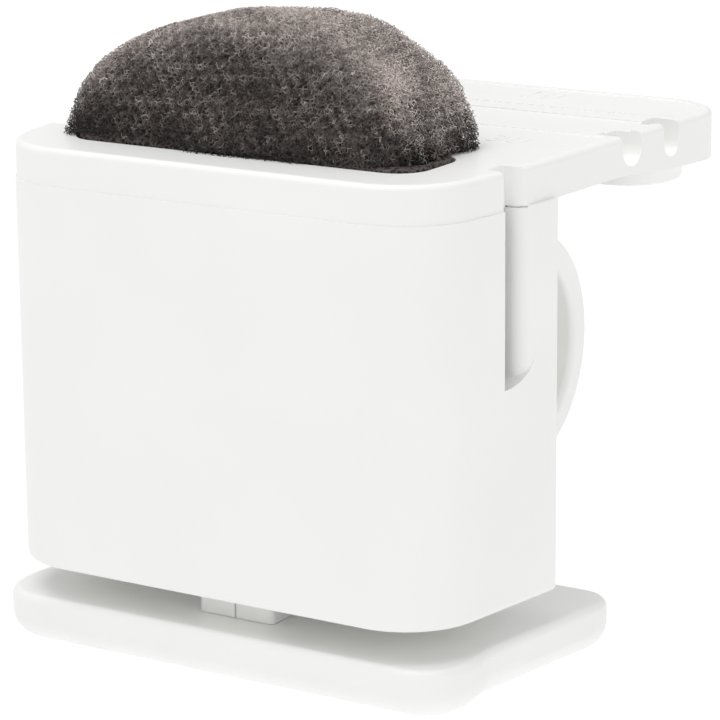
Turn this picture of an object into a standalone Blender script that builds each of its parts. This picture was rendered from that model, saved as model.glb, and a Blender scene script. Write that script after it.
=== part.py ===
"""Finger-worn endodontic file organiser: a white moulded cup with a foam block in its mouth, a ruler ledge
behind it, a finger ring that swivels on the back wall, and a foot plate on a short post.

Frame: +X to the right, +Y away from the front wall, +Z up. The origin is the centre of the foot plate's
underside. Run in Blender 4.5; every length below is in millimetres until MM turns it into metres.
"""

import math

import bmesh
import bpy
from mathutils import Matrix

MM = 0.001

# Plan of the moulded body, measured along Y from the front wall's outer face.
FRONT_WIDTH = 37.3
FLARE = math.radians(8.8)
CORNER_RADIUS = 6.2
BODY_DEPTH = 14.8
REAR_CORNER = 0.15
WALL = 1.6
FLOOR = 1.8
BOTTOM_ROUND = 0.4
CORNER_STEPS = 5

# Heights above the surface that the foot plate stands on.
FOOT_THICKNESS = 3.9
FOOT_GAP = 2.5
BODY_HEIGHT = 32.2
DECK_THICKNESS = 2.85
BODY_BOTTOM = FOOT_THICKNESS + FOOT_GAP
DECK_TOP = BODY_BOTTOM + BODY_HEIGHT
DECK_BOTTOM = DECK_TOP - DECK_THICKNESS

# Foot plate: from under the front wall to well behind the back wall, with an ear at each front corner.
FOOT_FRONT = 0.1
FOOT_REAR = 23.1
FOOT_FRONT_RADIUS = 3.7
FOOT_REAR_RADIUS = 2.6
FOOT_TOP_ROUND = 0.65
FOOT_BOTTOM_ROUND = 2.2
FOOT_FRONT_EAR = 0.75
FOOT_EAR = 0.8
FOOT_EAR_Y = 3.7
FOOT_WAIST_Y = 8.0
POST_WIDTH = 6.6
POST_FRONT = 3.6
POST_DEPTH = 6.0

# Side slots between the cup and the back wall.
SLOT_FRONT = 8.7
SLOT_REAR = 10.8
SLOT_BOTTOM = DECK_TOP - 15.8
SLOT_INNER_X = 16.7
DECK_SLOT_INNER_X = 18.5  # the slot is shallower in the deck than in the cup
SLOT_REAR_ROUND = 1.4

# Foam socket that hangs from the deck.
SOCKET_HALF_WIDTH = 15.0
SOCKET_FRONT = 4.2
SOCKET_REAR = 12.1
SOCKET_FLOOR_Z = DECK_TOP - 13.7
SOCKET_WALL = 0.8
SOCKET_RADIUS = 2.4

# Foam block: a plug in the socket under a dome that swells over the rim.
FOAM_CLEARANCE = 0.15
FOAM_RISE = 9.2
FOAM_HALF_WIDTH = 15.3
FOAM_POWER = 2.2
FOAM_FRONT = 3.9
FOAM_REAR = 17.4
FOAM_OVER_DECK = 0.35

# Ruler ledge, which carries on from the deck behind the back wall.
LEDGE_REAR = 41.6
LEDGE_HALF_WIDTH = 20.2
LEDGE_FAR_HALF_WIDTH = 21.9
LEDGE_CORNER = 4.8
LEDGE_UNDERSIDE = [(BODY_DEPTH + 0.3, 0.02), (24.0, -0.1), (34.0, -0.82), (LEDGE_REAR + 2.0, -1.05)]
LEDGE_LENGTH = 30.0  # from the slots, where the ledge starts, to where its half width is the far one
RIM_ROUND = 0.45
DECK_INSET = 0.12  # of the deck's edge from the cup's wall
NOTCHES = [(25.9, 2.8, 2.4), (31.7, 2.2, 2.6)]  # centre, width, depth
NOTCH_REACH = 2.2
BOSS_RADIUS = 4.3
BOSS_CENTRE = (16.5, 33.6)
BOSS_BOTTOM = DECK_TOP - 4.9
BOSS_ROOT = DECK_TOP - 2.3

# Finger ring, turned about X, on a stem that turns about Y in the back wall.
RING_OUTER = 9.4
RING_INNER = 7.3
RING_HALF_WIDTH = 10.8
RING_ROUND = 0.4
RING_Y = 28.7
RING_Z = DECK_TOP - 18.55
NECK_RADIUS = 4.5
NECK_END = RING_Y - RING_INNER - 0.2
NECK_GAP = 0.3
STEM_RADIUS = 2.2
STEM_CLEARANCE = 0.06
STEM_TIP = 10.4
GROOVE_RADIUS = 1.6
GROOVE_FRONT = 11.95
GROOVE_REAR = 12.7

CLIP_OUTER = 3.6
CLIP_THICKNESS = 0.6
CLIP_MOUTH = 2.4
CLIP_CLEARANCE = 0.05
CLIP_STEPS = 28

# Screw that holds the foot plate and the post to the body's floor.
SCREW_Y = 6.6
SCREW_RADIUS = 1.2
SCREW_HEAD_RADIUS = 2.5
SCREW_HEAD_HEIGHT = 1.4
SCREW_HEAD_Z = 0.35
SCREW_TIP_Z = BODY_BOTTOM + 6.8
SCREW_CLEARANCE = 0.06
SCREW_BOSS_RADIUS = 3.0
SCREW_BOSS_TOP = BODY_BOTTOM + 8.0
PLATE_CLEARANCE = 0.26  # around the screw where it passes through the foot plate and the post
RECESS_LENGTH = 2.6
RECESS_WIDTH = 0.55
RECESS_HEIGHT = 2.4

BORE_STEPS = 16
SEAT_GAP = 0.02  # between pieces that rest on each other
ORIGIN_Y = (FOOT_FRONT + FOOT_REAR) / 2

WHITE = (0.86, 0.86, 0.84)


def side_x(y):
    """Half width of the flared body at distance y behind its front face."""
    return FRONT_WIDTH / 2 + y * math.tan(FLARE)


def clear_scene():
    for obj in list(bpy.data.objects):
        bpy.data.objects.remove(obj, do_unlink=True)


def new_collection(name):
    found = bpy.data.collections.new(name)
    bpy.context.scene.collection.children.link(found)
    return found


def plastic(name, colour, roughness, metallic=0.0):
    found = bpy.data.materials.new(name)
    found.use_nodes = True
    shader = found.node_tree.nodes["Principled BSDF"]
    shader.inputs["Base Color"].default_value = (*colour, 1.0)
    shader.inputs["Roughness"].default_value = roughness
    shader.inputs["Metallic"].default_value = metallic
    return found


def filleted(corners, steps=8):
    """A closed outline from (x, y, radius) corners, with an arc of that radius at each."""
    points = []
    for i, (x, y, radius) in enumerate(corners):
        if radius == 0:
            points.append((x, y))
            continue
        before, after = corners[i - 1], corners[(i + 1) % len(corners)]
        to_before = math.atan2(before[1] - y, before[0] - x)
        to_after = math.atan2(after[1] - y, after[0] - x)
        half = ((to_before - to_after + math.pi) % (2 * math.pi) - math.pi) / 2
        middle = to_after + half
        reach = radius / abs(math.sin(half))
        centre = (x + reach * math.cos(middle), y + reach * math.sin(middle))
        sweep = math.copysign(math.pi / 2 - abs(half), half)
        for k in range(steps + 1):
            angle = middle + math.pi - sweep + 2 * sweep * k / steps
            points.append((centre[0] + radius * math.cos(angle), centre[1] + radius * math.sin(angle)))
    return points


def mirrored(right_side):
    """Corners of a closed outline that is symmetric about X = 0, from those of its right half."""
    return right_side + [(-x, y, radius) for x, y, radius in reversed(right_side)]


def prism(name, outline, low, high, collection):
    """A mesh object: the flat outline (x and distance from the front face) extruded from low to high."""
    curve = bpy.data.curves.new(name, "CURVE")
    curve.dimensions = "2D"
    curve.fill_mode = "BOTH"
    curve.extrude = (high - low) / 2 * MM
    spline = curve.splines.new("POLY")
    spline.points.add(len(outline) - 1)
    for point, (x, y) in zip(spline.points, outline):
        point.co = (x * MM, (y - ORIGIN_Y) * MM, 0.0, 1.0)
    spline.use_cyclic_u = True
    return meshed(curve, (0.0, 0.0, (high + low) / 2 * MM), (0.0, 0.0, 0.0), collection)


def side_prism(name, outline, half_width, collection):
    """A mesh object: the outline in Y and Z extruded along X to both sides."""
    curve = bpy.data.curves.new(name, "CURVE")
    curve.dimensions = "2D"
    curve.fill_mode = "BOTH"
    curve.extrude = half_width * MM
    spline = curve.splines.new("POLY")
    spline.points.add(len(outline) - 1)
    for point, (y, z) in zip(spline.points, outline):
        point.co = ((y - ORIGIN_Y) * MM, z * MM, 0.0, 1.0)
    spline.use_cyclic_u = True
    quarter = math.pi / 2
    return meshed(curve, (0.0, 0.0, 0.0), (quarter, 0.0, quarter), collection)


def meshed(curve, location, rotation, collection):
    """The curve as a closed mesh object in place, with the curve itself removed."""
    guide = bpy.data.objects.new(curve.name + "_guide", curve)
    guide.location = location
    guide.rotation_euler = rotation
    bpy.context.scene.collection.objects.link(guide)
    bpy.context.view_layer.update()
    graph = bpy.context.evaluated_depsgraph_get()
    mesh = bpy.data.meshes.new_from_object(guide.evaluated_get(graph))
    made = bpy.data.objects.new(curve.name, mesh)
    mesh.transform(guide.matrix_world)
    shape = bmesh.new()
    shape.from_mesh(mesh)
    bmesh.ops.remove_doubles(shape, verts=shape.verts, dist=1e-6)
    bmesh.ops.recalc_face_normals(shape, faces=shape.faces)
    shape.to_mesh(mesh)
    shape.free()
    bpy.data.objects.remove(guide, do_unlink=True)
    bpy.data.curves.remove(curve)
    collection.objects.link(made)
    return made


def turned(name, profile, location, rotation, collection, steps=32):
    """A mesh object turned about its own Z from (radius, height) points, listed down the outer side."""
    mesh = bpy.data.meshes.new(name)
    closed = profile[0][0] > 0
    edges = [(i, i + 1) for i in range(len(profile) - 1)]
    if closed:
        edges.append((len(profile) - 1, 0))
    mesh.from_pydata([(r * MM, 0.0, z * MM) for r, z in profile], edges, [])
    made = bpy.data.objects.new(name, mesh)
    made.location = [value * MM for value in location]
    made.rotation_euler = rotation
    screw = made.modifiers.new("turn", "SCREW")
    screw.steps = screw.render_steps = steps
    screw.use_merge_vertices = True
    screw.merge_threshold = 1e-6
    collection.objects.link(made)
    return made


def join_or_cut(target, other, operation):
    boolean = target.modifiers.new(operation.lower() + "_" + other.name, "BOOLEAN")
    boolean.operation = operation
    boolean.object = other
    boolean.solver = "EXACT"


def helper(obj):
    """Marks a cutter or a shape that is joined into a part, so that it is no part itself."""
    obj.hide_render = True
    obj.display_type = "WIRE"
    return obj


def round_edges_at(obj, height, radius, segments=3):
    """Bevels the outline edges of a prism at one height."""
    shape = bmesh.new()
    shape.from_mesh(obj.data)
    rim = [e for e in shape.edges if all(abs(v.co.z - height * MM) < 1e-6 for v in e.verts)
           and len(e.link_faces) == 2 and any(abs(f.normal.z) < 0.5 for f in e.link_faces)]
    bmesh.ops.bevel(shape, geom=rim, offset=radius * MM, segments=segments, profile=0.5,
                     affect="EDGES")
    shape.to_mesh(obj.data)
    shape.free()


def body_outline(inset=0.0):
    """Corners of the body's plan, moved inwards by inset."""
    slack = inset / math.cos(FLARE)
    front = (side_x(inset) - slack, inset, CORNER_RADIUS - inset)
    rear_y = BODY_DEPTH - inset
    rear = (side_x(rear_y) - slack, rear_y, REAR_CORNER)
    return filleted(mirrored([front, rear]), CORNER_STEPS)


def slot_outline(side, inner_x):
    """Plan of the cutter for one side slot; the back wall's corner beside it is rounded."""
    arc_x = side_x(SLOT_REAR) - SLOT_REAR_ROUND
    corners = [(inner_x, SLOT_FRONT, 0.3), (26.0, SLOT_FRONT, 0)]
    corners += [(26.0, SLOT_REAR + SLOT_REAR_ROUND, 0)]
    corners += [(side_x(SLOT_REAR + SLOT_REAR_ROUND), SLOT_REAR + SLOT_REAR_ROUND, 0)]
    for k in range(1, 6):
        angle = math.radians(90 - 15 * k)
        corners.append((arc_x + SLOT_REAR_ROUND * math.sin(angle) + 0.15,
                        SLOT_REAR + SLOT_REAR_ROUND * (1 - math.cos(angle)), 0))
    corners += [(arc_x, SLOT_REAR, 0), (inner_x, SLOT_REAR, 0.3)]
    return [(side * x, y) for x, y in filleted(corners, 3)]


def make_cup_shell(parts, cutters, white):
    shell = prism("cup_shell", body_outline(), BODY_BOTTOM, DECK_BOTTOM, parts)
    round_edges_at(shell, BODY_BOTTOM, BOTTOM_ROUND, 2)
    hollow = prism("shell_hollow", body_outline(WALL), BODY_BOTTOM + FLOOR, DECK_TOP, cutters)
    join_or_cut(shell, helper(hollow), "DIFFERENCE")
    for side, label in ((1, "right"), (-1, "left")):
        outline = slot_outline(side, SLOT_INNER_X)
        slot = prism("slot_" + label, outline, SLOT_BOTTOM, DECK_TOP + 5, cutters)
        join_or_cut(shell, helper(slot), "DIFFERENCE")
    boss = turned("screw_boss", [(0, SCREW_BOSS_TOP), (SCREW_BOSS_RADIUS, SCREW_BOSS_TOP),
                                 (SCREW_BOSS_RADIUS, BODY_BOTTOM + 0.6), (0, BODY_BOTTOM + 0.6)],
                  (0, SCREW_Y - ORIGIN_Y, 0), (0, 0, 0), cutters, BORE_STEPS)
    join_or_cut(shell, helper(boss), "UNION")
    bore = SCREW_RADIUS + SCREW_CLEARANCE
    pilot = turned("screw_pilot", [(0, SCREW_TIP_Z + 0.3), (bore, SCREW_TIP_Z + 0.3), (bore, 3), (0, 3)],
                   (0, SCREW_Y - ORIGIN_Y, 0), (0, 0, 0), cutters, BORE_STEPS)
    join_or_cut(shell, helper(pilot), "DIFFERENCE")
    bore = STEM_RADIUS + STEM_CLEARANCE
    stem_hole = turned("stem_hole", [(0, 2), (bore, 2), (bore, -2), (0, -2)],
                       (0, BODY_DEPTH - WALL / 2 - ORIGIN_Y, RING_Z), (math.pi / 2, 0, 0), cutters,
                       BORE_STEPS)
    join_or_cut(shell, helper(stem_hole), "DIFFERENCE")
    shell.data.materials.append(white)
    return shell


def deck_outline():
    inset = DECK_INSET
    front = (side_x(inset) - inset, inset, CORNER_RADIUS - inset)
    waist = (side_x(SLOT_REAR) - inset, SLOT_REAR, 0)
    far = (LEDGE_FAR_HALF_WIDTH, LEDGE_REAR, LEDGE_CORNER)
    return filleted(mirrored([front, waist, far]))


def rounded_box(half_width, front, rear, radius):
    return filleted(mirrored([(half_width, front, radius), (half_width, rear, radius)]), 5)


def make_top_deck(parts, cutters, white):
    deck = prism("top_deck", deck_outline(), BODY_BOTTOM, DECK_TOP, parts)
    round_edges_at(deck, DECK_TOP, RIM_ROUND, 2)
    under = [(-3.0, DECK_BOTTOM + SEAT_GAP), (-3.0, DECK_TOP + 3), (LEDGE_REAR + 3, DECK_TOP + 3)]
    under += [(y, DECK_BOTTOM + drop) for y, drop in reversed(LEDGE_UNDERSIDE)]
    join_or_cut(deck, helper(side_prism("deck_layer", under, 30.0, cutters)), "INTERSECT")

    reach = SOCKET_WALL
    socket = prism("socket_outside", rounded_box(SOCKET_HALF_WIDTH + reach, SOCKET_FRONT - reach,
                                                 SOCKET_REAR + reach, SOCKET_RADIUS + reach),
                   SOCKET_FLOOR_Z - reach, DECK_TOP - 1.0, cutters)
    join_or_cut(deck, helper(socket), "UNION")
    mouth = prism("socket_inside", rounded_box(SOCKET_HALF_WIDTH, SOCKET_FRONT, SOCKET_REAR, SOCKET_RADIUS),
                  SOCKET_FLOOR_Z, DECK_TOP + 5, cutters)
    join_or_cut(deck, helper(mouth), "DIFFERENCE")

    boss = turned("ledge_boss", [(0, BOSS_ROOT), (BOSS_RADIUS, BOSS_ROOT), (BOSS_RADIUS, BOSS_BOTTOM + 0.3),
                                 (BOSS_RADIUS - 0.3, BOSS_BOTTOM), (0, BOSS_BOTTOM)],
                  (BOSS_CENTRE[0], BOSS_CENTRE[1] - ORIGIN_Y, 0), (0, 0, 0), cutters)
    join_or_cut(deck, helper(boss), "UNION")
    for side, label in ((1, "right"), (-1, "left")):
        outline = slot_outline(side, DECK_SLOT_INNER_X)
        slot = prism("deck_slot_" + label, outline, SLOT_BOTTOM, DECK_TOP + 5, cutters)
        join_or_cut(deck, helper(slot), "DIFFERENCE")
    for number, (centre, width, depth) in enumerate(NOTCHES, 1):
        x = LEDGE_HALF_WIDTH + (LEDGE_FAR_HALF_WIDTH - LEDGE_HALF_WIDTH) * (centre - SLOT_REAR) / LEDGE_LENGTH
        notch = side_notch("notch_%d" % number, centre, width, depth, x, cutters)
        join_or_cut(deck, helper(notch), "DIFFERENCE")
    deck.data.materials.append(white)
    return deck


def side_notch(name, centre, width, depth, edge_x, collection):
    """A U-shaped cutter that opens upwards and outwards on the ledge's right edge."""
    radius = width / 2
    bottom = DECK_TOP - depth + radius
    outline = [(centre + radius, DECK_TOP + 2), (centre - radius, DECK_TOP + 2)]
    for k in range(9):
        angle = math.pi + math.pi * k / 8
        outline.append((centre + radius * math.cos(angle), bottom + radius * math.sin(angle)))
    notch = side_prism(name, outline, NOTCH_REACH, collection)
    notch.location.x = edge_x * MM
    return notch


def make_foam_head(collection):
    """The head of the foam block: a superelliptic arch, from front to rear."""
    power = 2 / FOAM_POWER
    outline = []
    for k in range(25):
        angle = math.pi * k / 24
        x = FOAM_HALF_WIDTH * math.copysign(abs(math.cos(angle)) ** power, math.cos(angle))
        z = DECK_TOP + max(FOAM_RISE * math.sin(angle) ** power, FOAM_OVER_DECK)
        outline.append((x, z))
    return front_prism("foam_head", outline, FOAM_FRONT, FOAM_REAR, collection)


def front_prism(name, outline, front, rear, collection):
    """A mesh object: the outline in X and Z extruded from front to rear."""
    made = prism(name, [(x, z + ORIGIN_Y) for x, z in outline], front, rear, collection)
    height_to_y = Matrix(((1, 0, 0, 0), (0, 0, 1, 0), (0, 1, 0, 0), (0, 0, 0, 1)))
    made.data.transform(Matrix.Translation((0, -ORIGIN_Y * MM, 0)) @ height_to_y)
    made.data.flip_normals()
    return made


def make_foam(parts, cutters, dark):
    low = SOCKET_FLOOR_Z + 2 * SEAT_GAP
    slack = FOAM_CLEARANCE
    foam = prism("foam_insert", rounded_box(SOCKET_HALF_WIDTH - slack, SOCKET_FRONT + slack,
                                            SOCKET_REAR - slack, SOCKET_RADIUS - slack),
                 low, DECK_TOP + 1.0, parts)
    join_or_cut(foam, helper(make_foam_head(cutters)), "UNION")
    foam.data.materials.append(dark)
    return foam


def make_finger_ring(parts, cutters, white):
    """The ring's own Z is its bore's axis, laid along X; the stem turns about Y in the back wall."""
    r, w, e = RING_OUTER, RING_HALF_WIDTH, RING_ROUND
    profile = [(RING_INNER + e, w), (r - e, w)]
    profile += [(r - e + e * math.sin(a), w - e + e * math.cos(a)) for a in (math.pi / 6, math.pi / 3)]
    profile += [(r, w - e), (r, -w + e)]
    profile += [(r - e + e * math.cos(a), -w + e - e * math.sin(a)) for a in (math.pi / 6, math.pi / 3)]
    profile += [(r - e, -w), (RING_INNER + e, -w), (RING_INNER + e * 0.3, -w + e * 0.3),
                (RING_INNER, -w + e), (RING_INNER, w - e), (RING_INNER + e * 0.3, w - e * 0.3)]
    ring = turned("finger_ring", profile, (0, RING_Y - ORIGIN_Y, RING_Z), (0, math.pi / 2, 0), parts, 48)

    neck_start = BODY_DEPTH + NECK_GAP
    stem = [(0, -STEM_TIP), (STEM_RADIUS - 0.5, -STEM_TIP), (STEM_RADIUS, -STEM_TIP - 0.5),
            (STEM_RADIUS, -GROOVE_FRONT), (GROOVE_RADIUS, -GROOVE_FRONT), (GROOVE_RADIUS, -GROOVE_REAR),
            (STEM_RADIUS, -GROOVE_REAR), (STEM_RADIUS, -neck_start), (NECK_RADIUS - 0.5, -neck_start),
            (NECK_RADIUS, -neck_start - 0.5), (NECK_RADIUS, -NECK_END), (0, -NECK_END)]
    post = turned("ring_stem", stem, (0, -ORIGIN_Y, RING_Z), (math.pi / 2, 0, 0), cutters)
    join_or_cut(ring, helper(post), "UNION")
    ring.data.materials.append(white)
    return ring


def make_ring_clip(parts, steel):
    """An open spring clip in the stem's groove, just inside the back wall."""
    inner = GROOVE_RADIUS + CLIP_CLEARANCE
    mouth = math.asin(CLIP_MOUTH / 2 / CLIP_OUTER)
    inner_mouth = math.asin(CLIP_MOUTH / 2 / inner)
    outline = []
    for k in range(CLIP_STEPS + 1):
        angle = -math.pi / 2 + mouth + (2 * math.pi - 2 * mouth) * k / CLIP_STEPS
        outline.append((CLIP_OUTER * math.cos(angle), CLIP_OUTER * math.sin(angle)))
    for k in range(CLIP_STEPS + 1):
        angle = 1.5 * math.pi - inner_mouth - (2 * math.pi - 2 * inner_mouth) * k / CLIP_STEPS
        outline.append((inner * math.cos(angle), inner * math.sin(angle)))
    front = (GROOVE_FRONT + GROOVE_REAR - CLIP_THICKNESS) / 2
    clip = front_prism("ring_clip", outline, front, front + CLIP_THICKNESS, parts)
    clip.location.z = RING_Z * MM
    clip.data.materials.append(steel)
    return clip


def foot_outline():
    front = (side_x(0) + FOOT_FRONT_EAR, FOOT_FRONT, FOOT_FRONT_RADIUS)
    ear = (side_x(FOOT_EAR_Y) + FOOT_EAR, FOOT_EAR_Y, 0)
    waist = (side_x(FOOT_WAIST_Y), FOOT_WAIST_Y, 0)
    rear = (side_x(FOOT_REAR), FOOT_REAR, FOOT_REAR_RADIUS)
    return filleted(mirrored([front, ear, waist, rear]), 6)


def make_foot_plate(parts, cutters, white):
    foot = prism("foot_plate", foot_outline(), 0.0, FOOT_THICKNESS, parts)
    round_edges_at(foot, FOOT_THICKNESS, FOOT_TOP_ROUND, 2)
    round_edges_at(foot, 0.0, FOOT_BOTTOM_ROUND, 4)
    head, bore = SCREW_HEAD_RADIUS + 0.1, SCREW_RADIUS + PLATE_CLEARANCE
    seat = SCREW_HEAD_Z - 0.05
    hole = turned("foot_screw_hole", [(0, 5), (bore, 5), (bore, seat + SCREW_HEAD_HEIGHT), (head, seat),
                                      (head, -1), (0, -1)],
                  (0, SCREW_Y - ORIGIN_Y, 0), (0, 0, 0), cutters)
    join_or_cut(foot, helper(hole), "DIFFERENCE")
    foot.data.materials.append(white)
    return foot


def make_post(parts, cutters, white):
    outline = rounded_box(POST_WIDTH / 2, POST_FRONT, POST_FRONT + POST_DEPTH, 0.5)
    post = prism("foot_post", outline, FOOT_THICKNESS + SEAT_GAP, BODY_BOTTOM - SEAT_GAP, parts)
    bore = SCREW_RADIUS + PLATE_CLEARANCE
    hole = turned("post_screw_hole", [(0, 8), (bore, 8), (bore, -1), (0, -1)],
                  (0, SCREW_Y - ORIGIN_Y, 0), (0, 0, 0), cutters)
    join_or_cut(post, helper(hole), "DIFFERENCE")
    post.data.materials.append(white)
    return post


def make_screw(parts, cutters, steel):
    profile = [(0, SCREW_TIP_Z), (0.3, SCREW_TIP_Z), (SCREW_RADIUS, SCREW_TIP_Z - 1.2),
               (SCREW_RADIUS, SCREW_HEAD_Z + SCREW_HEAD_HEIGHT), (SCREW_HEAD_RADIUS, SCREW_HEAD_Z),
               (0, SCREW_HEAD_Z)]
    screw = turned("foot_screw", profile, (0, SCREW_Y - ORIGIN_Y, 0), (0, 0, 0), parts)
    for index, turn in enumerate((0.0, math.pi / 2)):
        cross = bpy.data.objects.new("screw_recess_%d" % index, bpy.data.meshes.new("screw_recess"))
        shape = bmesh.new()
        bmesh.ops.create_cube(shape, size=1.0)
        bmesh.ops.scale(shape, verts=shape.verts,
                        vec=(RECESS_LENGTH * MM, RECESS_WIDTH * MM, RECESS_HEIGHT * MM))
        shape.to_mesh(cross.data)
        shape.free()
        cross.location = (0.0, (SCREW_Y - ORIGIN_Y) * MM, 0.0)
        cross.rotation_euler = (0.0, 0.0, turn)
        cutters.objects.link(cross)
        join_or_cut(screw, helper(cross), "DIFFERENCE")
    screw.data.materials.append(steel)
    return screw


def shade(obj):
    for polygon in obj.data.polygons:
        polygon.use_smooth = True
    obj.data.set_sharp_from_angle(angle=math.radians(35))


def main():
    clear_scene()
    parts = new_collection("endo_file_organiser")
    cutters = new_collection("cutters")
    cutters.hide_render = True
    white = plastic("white_plastic", WHITE, 0.42)
    ring_white = plastic("ring_plastic", WHITE, 0.38)
    dark = plastic("foam_grey", (0.07, 0.06, 0.06), 0.95)
    steel = plastic("steel", (0.6, 0.6, 0.62), 0.3, 1.0)
    made = [
        make_cup_shell(parts, cutters, white),
        make_top_deck(parts, cutters, white),
        make_foam(parts, cutters, dark),
        make_finger_ring(parts, cutters, ring_white),
        make_ring_clip(parts, steel),
        make_foot_plate(parts, cutters, white),
        make_post(parts, cutters, white),
        make_screw(parts, cutters, steel),
    ]
    for obj in made:
        shade(obj)


main()
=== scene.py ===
"""The looks of a finger-worn endodontic file organiser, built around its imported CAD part.

The mouldings are solids with fine rounded edges, and the foam block is a dark core inside a net of struts
laid out on a lattice of foam cells. Lengths are in millimetres until MM turns them into metres. X is to the
right, Y is measured back from the front wall's face, and Z is up from the surface that the foot stands on.
"""

import math

import bmesh
import bpy
import numpy as np
from mathutils import Matrix, Vector


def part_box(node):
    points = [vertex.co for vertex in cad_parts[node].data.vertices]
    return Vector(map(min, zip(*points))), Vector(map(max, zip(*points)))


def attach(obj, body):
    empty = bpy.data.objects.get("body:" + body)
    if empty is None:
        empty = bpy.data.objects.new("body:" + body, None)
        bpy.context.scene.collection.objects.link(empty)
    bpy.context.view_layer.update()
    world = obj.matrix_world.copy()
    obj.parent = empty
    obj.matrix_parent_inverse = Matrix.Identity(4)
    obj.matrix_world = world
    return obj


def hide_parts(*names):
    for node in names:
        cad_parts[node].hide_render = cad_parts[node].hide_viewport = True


MM = 0.001
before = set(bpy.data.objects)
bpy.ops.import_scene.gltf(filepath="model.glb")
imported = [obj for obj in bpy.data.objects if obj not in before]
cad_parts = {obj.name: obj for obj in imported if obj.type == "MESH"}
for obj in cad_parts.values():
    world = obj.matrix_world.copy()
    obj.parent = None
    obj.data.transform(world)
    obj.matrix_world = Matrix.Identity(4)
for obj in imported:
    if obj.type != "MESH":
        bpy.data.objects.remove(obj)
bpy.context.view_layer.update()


def reach(node, axis, end):
    """How far a CAD node reaches along an axis, at its low end (0) or its high end (1), in millimetres."""
    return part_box(node)[end][axis] / MM


# Driving sizes, read from the frame.
FRONT = reach("cup_shell", 1, 0)
BODY_DEPTH = reach("cup_shell", 1, 1) - FRONT
BODY_BOTTOM = reach("cup_shell", 2, 0)
SEAM = reach("cup_shell", 2, 1)
DECK_TOP = reach("top_deck", 2, 1)
LEDGE_REAR = reach("top_deck", 1, 1) - FRONT
SOCKET_UNDERSIDE = reach("top_deck", 2, 0)
FOOT_TOP = reach("foot_plate", 2, 1)
FOOT_FRONT = reach("foot_plate", 1, 0) - FRONT
FOOT_REAR = reach("foot_plate", 1, 1) - FRONT
POST_HALF_WIDTH = reach("foot_post", 0, 1)
POST_FRONT = reach("foot_post", 1, 0) - FRONT
POST_REAR = reach("foot_post", 1, 1) - FRONT
RING_HALF_WIDTH = reach("finger_ring", 0, 1)
RING_OUTER = (reach("finger_ring", 2, 1) - reach("finger_ring", 2, 0)) / 2
RING_Z = (reach("finger_ring", 2, 1) + reach("finger_ring", 2, 0)) / 2
RING_Y = reach("finger_ring", 1, 1) - FRONT - RING_OUTER
STEM_TIP = reach("finger_ring", 1, 0) - FRONT
FOAM_TOP = reach("foam_insert", 2, 1)
FOAM_BOTTOM = reach("foam_insert", 2, 0)

# The flared cup and its parts, as in the CAD.
FLARE = math.radians(8.8)
FRONT_WIDTH = 2 * (reach("cup_shell", 0, 1) - BODY_DEPTH * math.tan(FLARE))
CORNER_RADIUS = 6.2
REAR_CORNER = 0.15
WALL = 1.6
FLOOR = 1.8
SLOT_FRONT = 8.7
SLOT_REAR = 10.8
SLOT_BOTTOM = DECK_TOP - 15.8
SLOT_INNER_X = 16.7
DECK_SLOT_INNER_X = 18.5  # the slot is shallower in the deck than in the cup
SLOT_REAR_ROUND = 1.4
DECK_INSET = 0.1  # of the deck's edge from the cup's wall
SOCKET = (15.0, 4.2, 12.1, 2.4)  # half width, front, rear, corner radius
SOCKET_WALL = 0.8
SOCKET_ROOT = DECK_TOP - 1.0
SOCKET_CLEARANCE = 0.2
LEDGE_HALF_WIDTH = 20.2
LEDGE_FAR_HALF_WIDTH = 21.9
LEDGE_CORNER = 4.8
LEDGE_LENGTH = 30.0
SKIRT_LAP = 0.15  # by which the deck's edge drops inside the cup's rim, so that the seam has no gap
LEDGE_UNDERSIDE = [(BODY_DEPTH + 0.3, -SKIRT_LAP), (24.0, -0.1), (34.0, -0.82), (LEDGE_REAR + 2.0, -1.05)]
NOTCHES = [(25.9, 2.8, 2.4), (31.7, 2.2, 2.6)]  # centre, width, depth
NOTCH_REACH = 2.2
BOSS = (16.5, 33.6, 4.3)  # x, y, radius
BOSS_ROOT = SEAM + 0.5
BOSS_BOTTOM = DECK_TOP - 4.9
SCREW_Y = 6.6
SCREW_HOLE_RADIUS = 1.46
PILOT_RADIUS = 1.26
SCREW_BOSS = (3.0, 6.2)  # radius, height above the cup's floor
RING_INNER = 7.3
NECK_RADIUS = 4.5
NECK_START = BODY_DEPTH + 0.3
STEM_RADIUS = 2.2
STEM_TIP_RADIUS = 1.7
STEM_HOLE_RADIUS = 2.26
STEM_GROOVE = (1.6, 11.95, 12.7)  # radius, front, rear

# The foot plate's plan.
FOOT_FRONT_EAR = 0.75
FOOT_EAR = 0.8
FOOT_EAR_Y = 3.7
FOOT_WAIST_Y = 8.0
FOOT_FRONT_RADIUS = 3.7
FOOT_REAR_RADIUS = 2.6

# Fine features that only the looks have.
RIM_ROUND = 0.5
EDGE_ROUND = 0.12
SLOT_END_RISE = 2.4
RECESS_DEPTH = 0.1
BAND_DEPTH = 0.14
FIELDS = [  # front, rear, margin at the sides, depth, and the front and rear corners' radii
    (17.8, 24.2, 1.0, RECESS_DEPTH, (0.2, 0.2)),
    (25.6, 31.0, 1.0, BAND_DEPTH, (0.2, 0.2)),
    (34.0, LEDGE_REAR - 1.0, 0.95, RECESS_DEPTH, (0.2, LEDGE_CORNER - 1.0)),
]
TICK_RADIUS = 0.28
TICK_DEPTH = 0.1
TICK_Y = 33.2
TICK_SHIFT = 0.4  # of the ruler's middle tick from the middle of the ledge
TICKS_EACH_WAY = 17
NUMERALS = [("10", 4.9, 36.6, 3.8), ("20", -9.6, 36.6, 3.8), ("30", 12.2, 18.9, 3.3)]  # text, x, y, size
FOOT_TOP_ROUND = 0.65
FOOT_BOTTOM_ROUND = 2.2
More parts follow.
